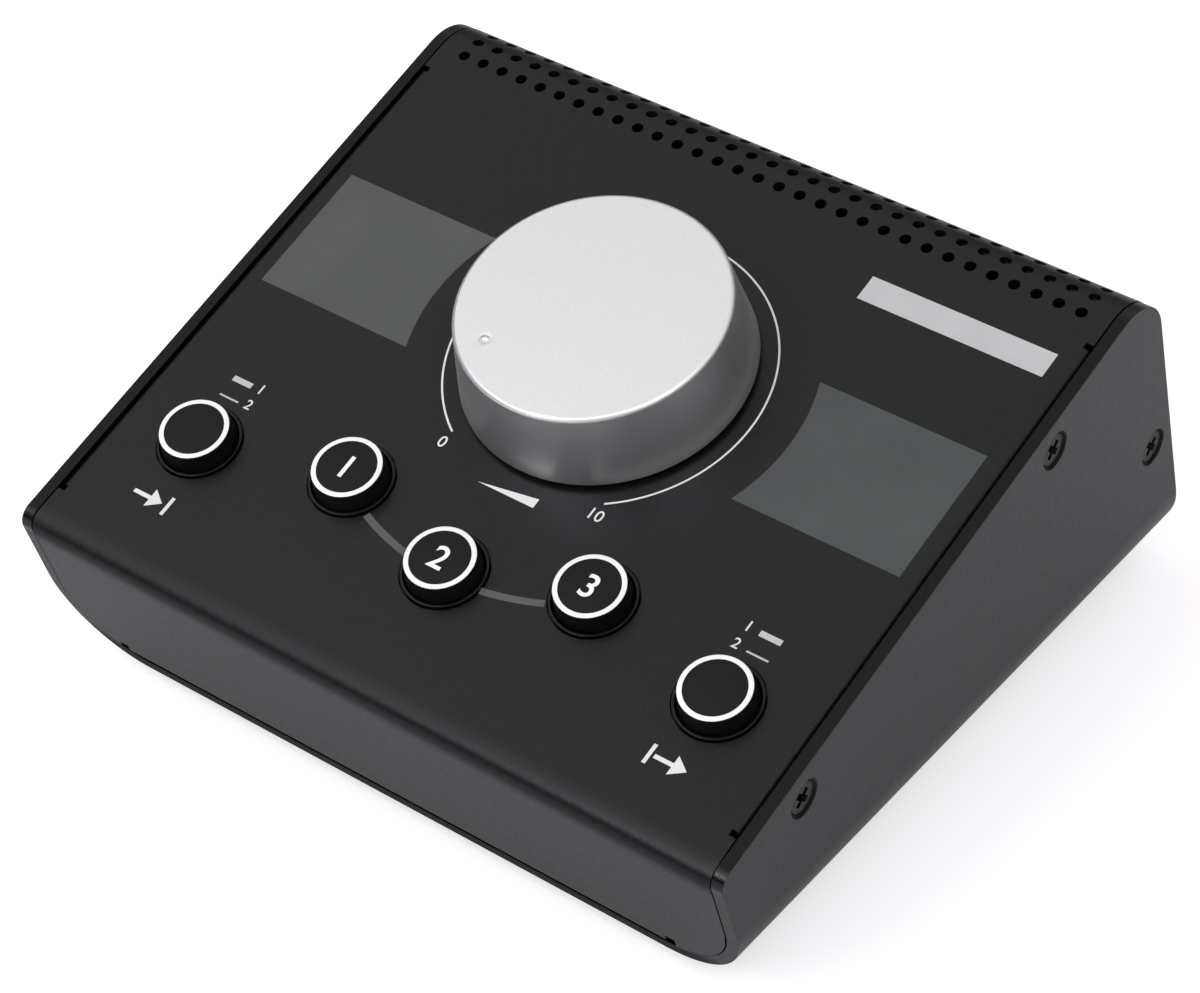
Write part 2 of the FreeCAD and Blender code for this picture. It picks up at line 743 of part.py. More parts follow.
def pot_washer():
    ring = cylinder(washer_radius, seat_gap, seat_gap + washer_thickness)
    return ring.cut(cylinder(bushing_radius + seat_gap, 0.0, 1.0))


def pot_nut():
    low = 2 * seat_gap + washer_thickness
    nut = hexagon(pot_nut_flats, low, low + pot_nut_height)
    return nut.cut(cylinder(bushing_radius + seat_gap / 2, low, low + pot_nut_height))


def terminal_places():
    """(u, v) of the potentiometer's solder tags, two rows through the board."""
    places = []
    for side in (-1, 1):
        for i in range(terminal_count):
            places.append(((i - (terminal_count - 1) / 2) * terminal_pitch,
                           side * (pot_side / 2 - pot_wall)))
    return places


def pot_terminals():
    tags = []
    low = control_board_top - board_thickness - terminal_length
    for u, v in terminal_places():
        tags.append(block(u - terminal_width / 2, u + terminal_width / 2,
                          v - terminal_thickness / 2, v + terminal_thickness / 2, low, pot_floor))
    return tags


# ---- push buttons ----
def button_cap(u, v):
    """Moulded cap: tapered above the panel, straight below it, with a stem in the middle."""
    inner = cap_radius - cap_wall
    crown = cap_top - cap_crown
    outline = [(0.0, cap_top), (cap_top_radius - cap_edge_round, cap_top),
               (cap_top_radius, cap_top - cap_edge_round), (cap_radius, 0.0),
               (cap_radius, cap_skirt), (inner, cap_skirt), (inner, 0.0),
               (cap_top_radius - cap_wall, crown), (stem_radius, crown),
               (stem_radius, stem_end), (0.0, stem_end)]
    body = turned(outline)
    half = plunger_side / 2 + seat_gap / 2
    body = body.cut(block(-half, half, -half, half, stem_end, plunger_top + seat_gap))
    body.translate(Vector(u, v, 0))
    return body


def switch_plunger(u, v):
    half = plunger_side / 2
    return block(u - half, u + half, v - half, v + half, plunger_end, plunger_top)


def switch_housing(u, v):
    """Latching switch: a box on the board with a well for its plunger."""
    half = switch_side / 2
    well = plunger_side / 2 + moving_gap
    low = control_board_top + seat_gap
    body = block(u - half, u + half, v - half, v + half, low, switch_top)
    return body.cut(block(u - well, u + well, v - well, v + well, low + switch_wall, switch_top))


def button_bezel(u, v):
    """Ring that stands up through the panel round a button, with a flange under the sheet."""
    inner = cap_radius + moving_gap
    sleeve = inner + bezel_wall
    flange = hole_radius + bezel_flange_width
    flange_top = -sheet - seat_gap
    flange_bottom = flange_top - bezel_flange_thickness
    bead = bezel_rim_height / 3
    outline = [(inner, bezel_depth), (sleeve, bezel_depth), (sleeve, flange_bottom),
               (flange, flange_bottom), (flange, flange_top), (sleeve, flange_top),
               (sleeve, bezel_rim_height - bead), (sleeve - bead, bezel_rim_height),
               (inner + bead, bezel_rim_height), (inner, bezel_rim_height - bead)]
    ring = turned(outline)
    ring.translate(Vector(u, v, 0))
    return ring


# ---- boards ----
def control_board():
    board = block(-board_half_width, board_half_width, control_board_front,
                  control_board_rear, control_board_top - board_thickness, control_board_top)
    low = control_board_top - board_thickness
    for u, v in pillar_places():
        hole = board_screw_radius + hole_clearance
        board = board.cut(cylinder(hole, low, control_board_top, u, v))
    for u, v in terminal_places():
        half_u = terminal_width / 2 + hole_clearance
        half_v = terminal_thickness / 2 + hole_clearance
        board = board.cut(block(u - half_u, u + half_u, v - half_v, v + half_v,
                                low, control_board_top))
    return board


def board_pillars():
    """Threaded pillars that stand on the panel's inner face."""
    pillars = []
    for u, v in pillar_places():
        pillar = hexagon(pillar_flats, control_board_top, -sheet, u, v)
        bore_end = control_board_top + pillar_bore_depth
        pillars.append(pillar.cut(cylinder(pillar_bore, control_board_top, bore_end, u, v)))
    return pillars


def board_screws():
    screws = []
    face = control_board_top - board_thickness - seat_gap
    for u, v in pillar_places():
        head = cylinder(board_screw_head, face - board_screw_head_height, face, u, v)
        shank = cylinder(board_screw_radius, face, face + board_screw_length, u, v)
        recess = aimed(cross_recess(0.0), Vector(u, v, face - board_screw_head_height),
                       Vector(0, 0, -1))
        screws.append(head.fuse(shank).cut(recess))
    return screws


def attenuator_resistors():
    """Two rows of small resistors lying on the control board."""
    resistors = []
    height = control_board_top + resistor_radius + seat_gap
    for v in resistor_rows:
        for i in range(resistor_count):
            u = (i - (resistor_count - 1) / 2) * resistor_pitch
            start = Vector(u - resistor_length / 2, v, height)
            body = Part.makeCylinder(resistor_radius, resistor_length, start, to_right)
            for side in (-1, 1):
                root = Vector(u + side * resistor_length / 2, v, height)
                lead = Part.makeCylinder(resistor_lead_radius, resistor_lead_reach, root,
                                         Vector(side, 0, 0))
                leg_u = u + side * (resistor_length / 2 + resistor_lead_reach)
                leg = cylinder(resistor_lead_radius, control_board_top, height, leg_u, v)
                joint = Part.makeSphere(resistor_lead_radius, Vector(leg_u, v, height))
                body = body.fuse([lead, leg, joint])
            resistors.append(body)
    return resistors


def jack_board():
    low_n = -jack_row_depth - jack_board_half_height
    high_n = -jack_row_depth + jack_board_half_height
    rear = jack_board_v - seat_gap
    return block(-board_half_width, board_half_width, rear - board_thickness, rear,
                 low_n, high_n)


# ---- jacks ----
def jack_socket(u, width, height, bushing, bore, bore_length, nose):
    """Jack with a square body behind the rear face and a threaded nose through it."""
    half_w, half_h = width / 2, height / 2
    n = -jack_row_depth
    face = rear_inner_v - seat_gap
    body = block(u - half_w, u + half_w, jack_board_v, face, n - half_h, n + half_h)
    barrel = Part.makeCylinder(bushing, nose - face, Vector(u, face, n), to_rear)
    hole = Part.makeCylinder(bore, bore_length, Vector(u, nose - bore_length, n), to_rear)
    return body.fuse(barrel).cut(hole)


def jack_nose_end():
    return panel_rear + 2 * seat_gap + jack_washer_thickness + jack_nut_height + jack_nose


def mini_nose_end():
    return panel_rear + seat_gap + mini_nut_height + jack_nose


def jack_washers():
    washers = []
    for u in jack_places().values():
        start = Vector(u, panel_rear + seat_gap, -jack_row_depth)
        disc = Part.makeCylinder(jack_washer_radius, jack_washer_thickness, start, to_rear)
        hole = Part.makeCylinder(jack_bushing_radius + hole_clearance, jack_washer_thickness,
                                 start, to_rear)
        washers.append(disc.cut(hole))
    return washers


def jack_nuts():
    nuts = []
    face = panel_rear + 2 * seat_gap + jack_washer_thickness
    for u in jack_places().values():
        nut = hexagon(jack_nut_flats, 0.0, jack_nut_height)
        nut = nut.cut(cylinder(jack_bushing_radius + seat_gap / 2, 0.0, jack_nut_height))
        nuts.append(aimed(nut, Vector(u, face, -jack_row_depth), to_rear))
    return nuts


def mini_jack_nut():
    nut = cylinder(mini_nut_radius, 0.0, mini_nut_height)
    nut = nut.cut(cylinder(mini_bushing_radius + seat_gap / 2, 0.0, mini_nut_height))
    return aimed(nut, Vector(0, panel_rear + seat_gap, -jack_row_depth), to_rear)


# ---- ribbon cable ----
def board_headers():
    """One header under the control board and one on the jack board, facing the cable."""
    control_low = control_board_top - board_thickness - seat_gap
    half_w, half_t = header_width / 2, header_thickness / 2
    upper = block(ribbon_place - half_w, ribbon_place + half_w, ribbon_start_v - half_t,
                  ribbon_start_v + half_t, control_low - header_height, control_low)
    face = jack_board_v - 2 * seat_gap - board_thickness
    n = -jack_row_depth
    lower = block(ribbon_place - half_w, ribbon_place + half_w, face - header_height, face,
                  n - half_t, n + half_t)
    return [upper, lower]


def ribbon_cable():
    start_n = control_board_top - board_thickness - 2 * seat_gap - header_height
    end_v = jack_board_v - 3 * seat_gap - board_thickness - header_height
    half = ribbon_thickness / 2
    n = -jack_row_depth - half
    v = ribbon_start_v - half
    path = [(end_v, n), (v, n), (v, start_n)]
    low_u = ribbon_place - ribbon_width / 2
    return bent_sheet(path, [ribbon_bend], ribbon_thickness,
                      lambda p: Vector(low_u, p[0], p[1]), Vector(ribbon_width, 0, 0))


# ---- write every node ----
os.makedirs("parts", exist_ok=True)

save("top_cover", [top_cover()])
save("lower_chassis", [lower_chassis()])
save("side_screws", side_screws())
save("clinch_nuts", clinch_nuts())
save("hem_screws", hem_screws())
save("foot_screws", foot_screws())
for name, (foot_x, foot_y) in foot_places().items():
    save("foot_" + name, [rubber_foot(foot_x, foot_y)])

save("knob_cap", [on_panel(knob_cap())])
save("knob_core", [on_panel(knob_core())])
save("pot_shaft", [on_panel(pot_shaft())])
save("pot_wipers", [on_panel(disc) for disc in pot_wipers()])
save("pot_housing", [on_panel(pot_housing())])
save("pot_bushing", [on_panel(pot_bushing())])
save("pot_washer", [on_panel(pot_washer())])
save("pot_nut", [on_panel(pot_nut())])
save("pot_terminals", [on_panel(tag) for tag in pot_terminals()])

for name, (button_u, button_v) in button_places().items():
    save(name + "_button_cap", [on_panel(button_cap(button_u, button_v))])
    save(name + "_bezel", [on_panel(button_bezel(button_u, button_v))])
    save(name + "_plunger", [on_panel(switch_plunger(button_u, button_v))])
    save(name + "_switch", [on_panel(switch_housing(button_u, button_v))])

save("control_board", [on_panel(control_board())])
save("board_pillars", [on_panel(pillar) for pillar in board_pillars()])
save("board_screws", [on_panel(screw) for screw in board_screws()])
save("attenuator_resistors", [on_panel(piece) for piece in attenuator_resistors()])
save("jack_board", [on_panel(jack_board())])
save("board_headers", [on_panel(piece) for piece in board_headers()])
save("ribbon_cable", [on_panel(ribbon_cable())])

for name, jack_u in jack_places().items():
    jack = jack_socket(jack_u, jack_body_width, jack_body_height, jack_bushing_radius,
                       jack_bore_radius, jack_bore_length, jack_nose_end())
    save(name + "_jack", [on_panel(jack)])
mini_jack = jack_socket(0.0, mini_body_side, mini_body_side, mini_bushing_radius,
                        mini_bore_radius, mini_bore_length, mini_nose_end())
save("source_b_mini_jack", [on_panel(mini_jack)])
save("jack_washers", [on_panel(piece) for piece in jack_washers()])
save("jack_nuts", [on_panel(piece) for piece in jack_nuts()])
save("mini_jack_nut", [on_panel(mini_jack_nut())])
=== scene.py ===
import json
import math

import bmesh
import bpy
from mathutils import Matrix, Vector


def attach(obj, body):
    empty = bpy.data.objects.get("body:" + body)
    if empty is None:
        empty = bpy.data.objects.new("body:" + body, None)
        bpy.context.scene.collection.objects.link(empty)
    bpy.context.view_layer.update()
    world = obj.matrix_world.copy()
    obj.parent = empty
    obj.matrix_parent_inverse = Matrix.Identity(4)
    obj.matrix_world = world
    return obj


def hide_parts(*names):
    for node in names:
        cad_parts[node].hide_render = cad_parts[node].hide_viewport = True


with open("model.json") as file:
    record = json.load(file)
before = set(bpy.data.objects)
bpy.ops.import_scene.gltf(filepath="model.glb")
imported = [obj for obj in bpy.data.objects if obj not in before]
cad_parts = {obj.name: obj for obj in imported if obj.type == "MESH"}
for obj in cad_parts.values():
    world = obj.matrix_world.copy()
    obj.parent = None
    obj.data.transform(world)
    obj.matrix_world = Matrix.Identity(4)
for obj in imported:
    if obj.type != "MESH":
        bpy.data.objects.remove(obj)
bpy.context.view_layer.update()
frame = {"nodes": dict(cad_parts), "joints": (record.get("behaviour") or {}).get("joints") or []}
nodes = frame["nodes"]

# Sizes are in millimetres in the panel's own frame: u to the user's right, v up the slope,
# n out of the panel, with the origin where the knob's axis meets the panel.
MM = 0.001
volume_joint = next(j for j in frame["joints"] if j["name"] == "volume_turn")
out_of_panel = -Vector(volume_joint["axis"])
tilt = math.atan2(-out_of_panel.y, out_of_panel.z)
PANEL = (
    Matrix.Translation(Vector(volume_joint["pos_m"]))
    @ Matrix.Rotation(tilt, 4, "X")
    @ Matrix.Scale(MM, 4)
)
UPRIGHT = Matrix.Identity(4)

SIDE = 84.1
SHEET = 1.2
COVER_FRONT = 85.6
COVER_REAR = 66.1
FRONT_BEND_RADIUS = 3.4
REAR_BEND_RADIUS = 13.0
SIDE_SCREWS = [(-60.2, -7.6), (26.8, -7.6), (59.1, -46.0)]
JACK_ROW = -50.0
REAR_FACE = PANEL @ Matrix(
    ((-1, 0, 0, 0), (0, 0, 1, COVER_REAR), (0, 1, 0, JACK_ROW), (0, 0, 0, 1))
)

BUTTONS = {
    "source": (-62.4, -53.8),
    "mono": (-29.146, -46.643),
    "mute": (0.0, -55.0),
    "dim": (29.146, -46.643),
    "monitor": (62.4, -53.8),
}
CAP_TOP = 4.4
CAP_SEAT = -5.4
KNOB_TOP = 18.8
KNOB_LOW = 1.3
KNOB_SEAT = 15.8
DIMPLE_REACH = 21.6                              # from the knob's axis
DIMPLE_TURN = math.radians(40.5)                 # clockwise from straight down
DIMPLE_STEPS = ((1.75, 0.16), (1.15, 0.85))      # radius and depth of each hollow
SCREW_HEAD = -0.5
MARK_DEPTH = 0.03                                # ink above and below the face
SHARP_EDGE = math.radians(30.0)                  # edges that turn by more are rounded
CRISP = 0.12                                     # rounding of the edges that stay sharp
SEAM_START = -76.5
SEAM_SHIFT = 0.2
FRONT_FADES = (2.4, 3.6)                         # curvature fading out beside the front bend
FADE_STEPS = 6


# ---- colours and finishes ----
def shade(red, green, blue):
    """A display colour, 0 to 255, as the linear colour that a shader takes."""
    linear = []
    for level in (red, green, blue):
        share = level / 255
        linear.append(share / 12.92 if share <= 0.04045 else ((share + 0.055) / 1.055) ** 2.4)
    return (*linear, 1.0)


def add(tree, kind, inputs=None, **settings):
    """Put a node in a tree, with its settings and its plain input values."""
    node = tree.nodes.new(kind)
    for key, value in settings.items():
        setattr(node, key, value)
    for key, value in (inputs or {}).items():
        node.inputs[key].default_value = value
    return node


def join(tree, *pairs):
    for source, target in pairs:
        tree.links.new(source, target)


def combined(tree, operation, *values):
    """Values taken together by one operation, from left to right."""
    total = values[0]
    for value in values[1:]:
        node = add(tree, "ShaderNodeMath", operation=operation)
        join(tree, (total, node.inputs[0]), (value, node.inputs[1]))
        total = node.outputs[0]
    return total


def either(tree, *values):
    """The greatest of some values."""
    return combined(tree, "MAXIMUM", *values)


def both(tree, *values):
    """Some masks where all of them hold."""
    return combined(tree, "MULTIPLY", *values)


def chosen(tree, factor, without, given):
    """The value without where the factor is zero, and given where it is one."""
    node = add(tree, "ShaderNodeMix", data_type="FLOAT")
    join(tree, (factor, node.inputs["Factor"]))
    for socket, value in ((node.inputs[2], without), (node.inputs[3], given)):
        if isinstance(value, float):
            socket.default_value = value
        else:
            join(tree, (value, socket))
    return node.outputs[0]


def ramp(tree, value, start, end, height=1.0):
    """A mask that goes from nothing at start to its height at end, both in millimetres."""
    node = add(tree, "ShaderNodeMapRange",
               {"From Min": start * MM, "From Max": end * MM, "To Max": height})
    join(tree, (value, node.inputs["Value"]))
    return node.outputs["Result"]


def parts_of(tree, vector):
    """A vector's three parts."""
    node = add(tree, "ShaderNodeSeparateXYZ")
    join(tree, (vector, node.inputs[0]))
    return node.outputs


def size_of(tree, value):
    """A value without its sign."""
    node = add(tree, "ShaderNodeMath", operation="ABSOLUTE")
    join(tree, (value, node.inputs[0]))
    return node.outputs[0]


def new_group(name, inputs, outputs):
    """An empty shader group with named sockets, and its input and output nodes."""
    group = bpy.data.node_groups.new(name, "ShaderNodeTree")
    for label, kind, value in inputs:
        socket = group.interface.new_socket(name=label, in_out="INPUT", socket_type=kind)
        if kind == "NodeSocketFloat":
            socket.default_value = value
    for label in outputs:
        group.interface.new_socket(name=label, in_out="OUTPUT", socket_type="NodeSocketFloat")
    return group, add(group, "NodeGroupInput"), add(group, "NodeGroupOutput")


def grain_group():
    """Fine surface grain over a softer swell, with a broad cloudy mask."""
    group, given, result = new_group(
        "fine_grain",
        [
            ("Vector", "NodeSocketVector", None),
            ("Grain", "NodeSocketFloat", 3000.0),
            ("Swell", "NodeSocketFloat", 0.4),
            ("Cloud", "NodeSocketFloat", 60.0),
        ],
        ["Height", "Cloud", "Speck"],
    )
    fine = add(group, "ShaderNodeTexNoise", {"Detail": 2.0, "Roughness": 0.6})
    soft = add(group, "ShaderNodeTexNoise", {"Detail": 1.0})
    cloud = add(group, "ShaderNodeTexNoise", {"Detail": 4.0, "Roughness": 0.55})
    third = add(group, "ShaderNodeMath", {1: 3.2}, operation="DIVIDE")
    blend = add(group, "ShaderNodeMix", data_type="FLOAT")
    sharpen = add(group, "ShaderNodeMapRange", {"From Min": 0.35, "From Max": 0.65})
    speck = add(group, "ShaderNodeMapRange", {"From Min": 0.42, "From Max": 0.72})
    join(
        group,
        (given.outputs["Vector"], fine.inputs["Vector"]),
        (given.outputs["Vector"], soft.inputs["Vector"]),
        (given.outputs["Vector"], cloud.inputs["Vector"]),
        (given.outputs["Grain"], fine.inputs["Scale"]),
        (given.outputs["Grain"], third.inputs[0]),
        (third.outputs[0], soft.inputs["Scale"]),
        (given.outputs["Cloud"], cloud.inputs["Scale"]),
        (given.outputs["Swell"], blend.inputs["Factor"]),
        (fine.outputs["Fac"], blend.inputs[2]),
        (soft.outputs["Fac"], blend.inputs[3]),
        (cloud.outputs["Fac"], sharpen.inputs["Value"]),
        (fine.outputs["Fac"], speck.inputs["Value"]),
        (blend.outputs[0], result.inputs["Height"]),
        (sharpen.outputs["Result"], result.inputs["Cloud"]),
        (speck.outputs["Result"], result.inputs["Speck"]),
    )
    return group


def turned_group():
    """Faint rings left by turning, about the axis through the pattern's origin."""
    group, given, result = new_group(
        "turned_rings",
        [("Vector", "NodeSocketVector", None), ("Rings", "NodeSocketFloat", 4000.0)],
        ["Height"],
    )
    flat = add(group, "ShaderNodeVectorMath", {1: (1.0, 1.0, 0.0)}, operation="MULTIPLY")
    radius = add(group, "ShaderNodeVectorMath", operation="LENGTH")
    apart = add(group, "ShaderNodeSeparateXYZ")
    turn = add(group, "ShaderNodeMath", operation="ARCTAN2")
    slow = add(group, "ShaderNodeMath", {1: 0.0006}, operation="MULTIPLY")
    place = add(group, "ShaderNodeCombineXYZ")
    rings = add(group, "ShaderNodeTexNoise", {"Detail": 3.0, "Roughness": 0.7})
    join(
        group,
        (given.outputs["Vector"], flat.inputs[0]),
        (flat.outputs["Vector"], radius.inputs[0]),
        (given.outputs["Vector"], apart.inputs[0]),
        (apart.outputs["Y"], turn.inputs[0]),
        (apart.outputs["X"], turn.inputs[1]),
        (turn.outputs[0], slow.inputs[0]),
        (radius.outputs["Value"], place.inputs["X"]),
        (slow.outputs[0], place.inputs["Y"]),
        (apart.outputs["Z"], place.inputs["Z"]),
        (place.outputs[0], rings.inputs["Vector"]),
        (given.outputs["Rings"], rings.inputs["Scale"]),
        (rings.outputs["Fac"], result.inputs["Height"]),
    )
    return group


GRAIN = grain_group()
TURNED = turned_group()


def placed_group(tree, group, coordinates, **values):
    node = add(tree, "ShaderNodeGroup")
    node.node_tree = group
    for key, value in values.items():
        node.inputs[key].default_value = value
    join(tree, (coordinates, node.inputs["Vector"]))
    return node


def chassis_masks(tree, place, on_panel, gloss):
    """Roughness and metallic of the chassis's coat, which differ on some of its edges.

    place is the object's own place and on_panel the same in the panel's directions. The coat
    is duller and darker, as painted shade, in the screws' countersinks and along the low front
    edge; it is darker on the edges level with the panel and on the front ends, and smooth on
    the front bend.
    """
    x, y, z = parts_of(tree, on_panel)
    height = parts_of(tree, place)["Z"]
    across = size_of(tree, x)

    straight = ramp(tree, y, -83.4, -82.0)
    level = both(tree, ramp(tree, z, -0.6, -0.1, 0.5), straight)
    # Painted shade along the low front edge, which is made darker and duller than the coat.
    lip = both(tree, ramp(tree, y, -84.8, -85.2), ramp(tree, height, 11.0, 7.0))
    rims = []
    for v, n in SIDE_SCREWS:
        apart = add(tree, "ShaderNodeVectorMath", {1: (0.0, v * MM, n * MM)},
                    operation="SUBTRACT")
        flat = add(tree, "ShaderNodeVectorMath", {1: (0.0, 1.0, 1.0)}, operation="MULTIPLY")
        reach = add(tree, "ShaderNodeVectorMath", operation="LENGTH")
        join(
            tree,
            (on_panel, apart.inputs[0]),
            (apart.outputs["Vector"], flat.inputs[0]),
            (flat.outputs["Vector"], reach.inputs[0]),
        )
        rims.append(ramp(tree, reach.outputs["Value"], 4.7, 4.5))
    sunk = ramp(tree, across, SIDE - 0.05, SIDE - 0.2)
    # The mask of painted shade: the low front edge, and the countersinks' walls below the side.
    painted_shade = either(tree, lip, both(tree, sunk, either(tree, *rims)))
    below = ramp(tree, z, -3.4, -4.2)
    end = both(tree, below, ramp(tree, across, SIDE - 0.1, SIDE - 0.25, 0.32))
    coarse = either(tree, straight, ramp(tree, across, SIDE - 0.25, SIDE - 0.1), below)

    roughness = chosen(tree, painted_shade, chosen(tree, coarse, 0.2, gloss), 0.6)
    return roughness, either(tree, level, chosen(tree, painted_shade, 0.0, 0.6), end)


def new_finish(name, dark, light, rough, metallic=0.0, specular=0.5, grain=3000.0, swell=0.4,
               cloud=60.0, relief=0.02, strength=0.4, rings=0.0, speck=False, tint=None,
               chassis=False, recess_shade=False):
    """A finish whose colour drifts between two shades over a fine grain.

    rings adds turning marks about the knob's axis, tint colours the gloss, and chassis takes
    chassis_masks. The last flag darkens, as painted shade, what lies below the side screws'
    faces.
    """
    material = bpy.data.materials.new(name)
    material.use_nodes = True
    tree = material.node_tree
    shader = tree.nodes["Principled BSDF"]
    shader.inputs["Metallic"].default_value = metallic
    shader.inputs["Specular IOR Level"].default_value = specular
    if tint:
        shader.inputs["Specular Tint"].default_value = (*tint, 1.0)
    place = add(tree, "ShaderNodeTexCoord").outputs["Object"]
    pattern = placed_group(tree, GRAIN, place, Grain=grain, Swell=swell, Cloud=cloud)
    colour = add(tree, "ShaderNodeMix", data_type="RGBA")
    colour.inputs[6].default_value = shade(*dark)
    colour.inputs[7].default_value = shade(*light)
    gloss = add(tree, "ShaderNodeMapRange", {"To Min": rough[0], "To Max": rough[1]})
    bump = add(tree, "ShaderNodeBump", {"Strength": strength, "Distance": relief * MM})
    join(
        tree,
        (pattern.outputs["Speck" if speck else "Cloud"], colour.inputs["Factor"]),
        (colour.outputs[2], shader.inputs["Base Color"]),
        (pattern.outputs["Cloud"], gloss.inputs["Value"]),
        (gloss.outputs["Result"], shader.inputs["Roughness"]),
        (pattern.outputs["Height"], bump.inputs["Height"]),
        (bump.outputs["Normal"], shader.inputs["Normal"]),
    )
    if chassis or rings:
        centred = add(tree, "ShaderNodeMapping", {
            "Location": PANEL.inverted().translation * MM,
            "Rotation": (-tilt, 0.0, 0.0),
        })
        join(tree, (place, centred.inputs["Vector"]))
    if chassis:
        roughness, metal = chassis_masks(tree, place, centred.outputs["Vector"],
                                         gloss.outputs["Result"])
        join(tree, (roughness, shader.inputs["Roughness"]), (metal, shader.inputs["Metallic"]))
    # Painted shade in the side screws' recesses: all below the head's face is made near black
    # through metallic.
    if recess_shade:
        across = size_of(tree, parts_of(tree, place)["X"])
        deep = ramp(tree, across, SIDE + SCREW_HEAD - 0.05, SIDE + SCREW_HEAD - 0.2, 0.97)
        join(tree, (deep, shader.inputs["Metallic"]))
    if rings:
        lay = placed_group(tree, TURNED, centred.outputs["Vector"], Rings=rings)
        second = add(tree, "ShaderNodeBump", {"Strength": 0.25, "Distance": relief * MM})
        join(
            tree,
            (lay.outputs["Height"], second.inputs["Height"]),
            (bump.outputs["Normal"], second.inputs["Normal"]),
            (second.outputs["Normal"], shader.inputs["Normal"]),
        )
    return material


COAT = dict(dark=(9, 9, 11), light=(17, 17, 19), rough=(0.34, 0.39), specular=0.285,
            grain=1700, cloud=1100.0, relief=0.12, strength=0.45, speck=True,
            tint=(0.96, 0.95, 1.0))
FINISHES = {
    "black_steel": new_finish("black_powder_coat", **COAT),
    # The side screws take painted shade in their recesses.
    "black_screw": new_finish("blackened_screw", (20, 19, 21), (26, 25, 27), (0.38, 0.46),
                              specular=0.26, grain=3000, relief=0.02, recess_shade=True),
    "nickel": new_finish("nickel_plate", (176, 174, 168), (200, 198, 192), (0.22, 0.34),
                         metallic=1.0, grain=2500, relief=0.01),
    "foot_rubber": new_finish("foot_rubber", (18, 18, 18), (30, 30, 30), (0.75, 0.9),
                              specular=0.3, grain=1800, relief=0.05),
    "knob_aluminium": new_finish("blasted_aluminium", (219, 219, 221), (229, 229, 230),
                                 (0.41, 0.45), metallic=1.0, grain=3600, swell=0.2,
                                 cloud=1500.0, relief=0.03, speck=True),
    "shaft_steel": new_finish("turned_steel", (170, 170, 172), (196, 196, 198), (0.25, 0.35),
                              metallic=1.0, relief=0.01, rings=5200.0),
    "brass": new_finish("turned_brass", (196, 160, 92), (222, 188, 120), (0.25, 0.38),
                        metallic=1.0, relief=0.01, rings=5200.0),
    "board_laminate": new_finish("board_laminate", (18, 62, 38), (30, 92, 58), (0.35, 0.5),
                                 grain=1600, relief=0.02),
    "resistor_body": new_finish("resistor_lacquer", (92, 138, 168), (120, 164, 190),
                                (0.35, 0.5), grain=2500, relief=0.02),
    "cable_grey": new_finish("ribbon_cable_grey", (150, 150, 152), (176, 176, 178),
                             (0.5, 0.6), grain=1500, relief=0.02),
    "cap_plastic": new_finish("cap_plastic", (12, 12, 13), (16, 16, 17), (0.34, 0.42),
                              specular=0.17, grain=5200, relief=0.008, strength=0.3),
    "bezel_plastic": new_finish("collar_plastic", (8, 8, 9), (12, 12, 13), (0.24, 0.3),
                                specular=0.24, grain=4200, relief=0.008, strength=0.3),
    "jack_plastic": new_finish("jack_plastic", (22, 22, 23), (34, 34, 35), (0.4, 0.5),
                               grain=3000, relief=0.02),
    "inner_plastic": new_finish("moulded_plastic", (44, 44, 46), (60, 60, 62), (0.45, 0.6),
                                grain=2600, relief=0.02),
    "plunger_plastic": new_finish("plunger_plastic", (214, 212, 206), (232, 230, 224),
                                  (0.4, 0.55), grain=2600, relief=0.02),
}
CHASSIS_COAT = new_finish("chassis_powder_coat", chassis=True, **{**COAT, "specular": 0.33})
WHITE_INK = new_finish("white_ink", (224, 224, 226), (236, 236, 238), (0.42, 0.5),
                       specular=0.3, grain=4200, relief=0.008)
PALE_INK = new_finish("pale_ink", (189, 189, 192), (199, 199, 202), (0.45, 0.55),
                      specular=0.3, grain=4200, relief=0.008)
FIELD_INKS = {
    side: new_finish("writing_field_ink_" + side, dark, light, (0.7, 0.8), specular=0.2,
                     grain=2600, relief=0.02)
    for side, dark, light in (("left", (84, 86, 85), (90, 92, 91)),
                              ("right", (74, 79, 79), (80, 85, 85)))
}
ARC_INK = new_finish("grey_ink", (84, 84, 86), (92, 92, 94), (0.5, 0.6),
                     specular=0.25, grain=3200, relief=0.01)
RING_PLASTIC = new_finish("ring_plastic", (246, 246, 246), (252, 252, 252), (0.3, 0.36),
                          specular=0.4, grain=3200, relief=0.004)

for name, node in nodes.items():
    slot_name = node.data.materials[0].name.split(".")[0]
    node.data.materials[0] = FINISHES[slot_name]


# ---- shaping ----
def piece_from(shape, name, finish, body="desk_box", place=PANEL, sharp=35.0):
    """A shape made a piece: its place goes into its mesh, and it rides on its body."""
    bmesh.ops.transform(shape, matrix=place, verts=shape.verts)
    mesh = bpy.data.meshes.new(name)
    shape.to_mesh(mesh)
    shape.free()
    mesh.shade_smooth()
    mesh.set_sharp_from_angle(angle=math.radians(sharp))
    mesh.materials.append(finish)
    piece = bpy.data.objects.new(name, mesh)
    bpy.context.scene.collection.objects.link(piece)
    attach(piece, body)
    return piece


def stand_in(piece, node):
    """The piece is shown in place of this CAD node, which is hidden."""
    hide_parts(node)
    return piece


def fold(v, way, radius, fades=(0.0, 0.0)):
    """A fold between the panel and the sheet that goes down from it at v.

    It is (middle, first normal, last normal, radii, fades). The fold's curvature fades out
    over a length before it and a length after it, as in sheet that is bent over an edge.
    """
    turn = PANEL.to_3x3()
    return (PANEL @ Vector((0.0, v - way * radius, -radius)),
            (turn @ Vector((0.0, 0.0, 1.0))).normalized(),
            (turn @ Vector((0.0, way, 0.0))).normalized(),
            [radius * MM, (radius - SHEET) * MM], [fade * MM for fade in fades])


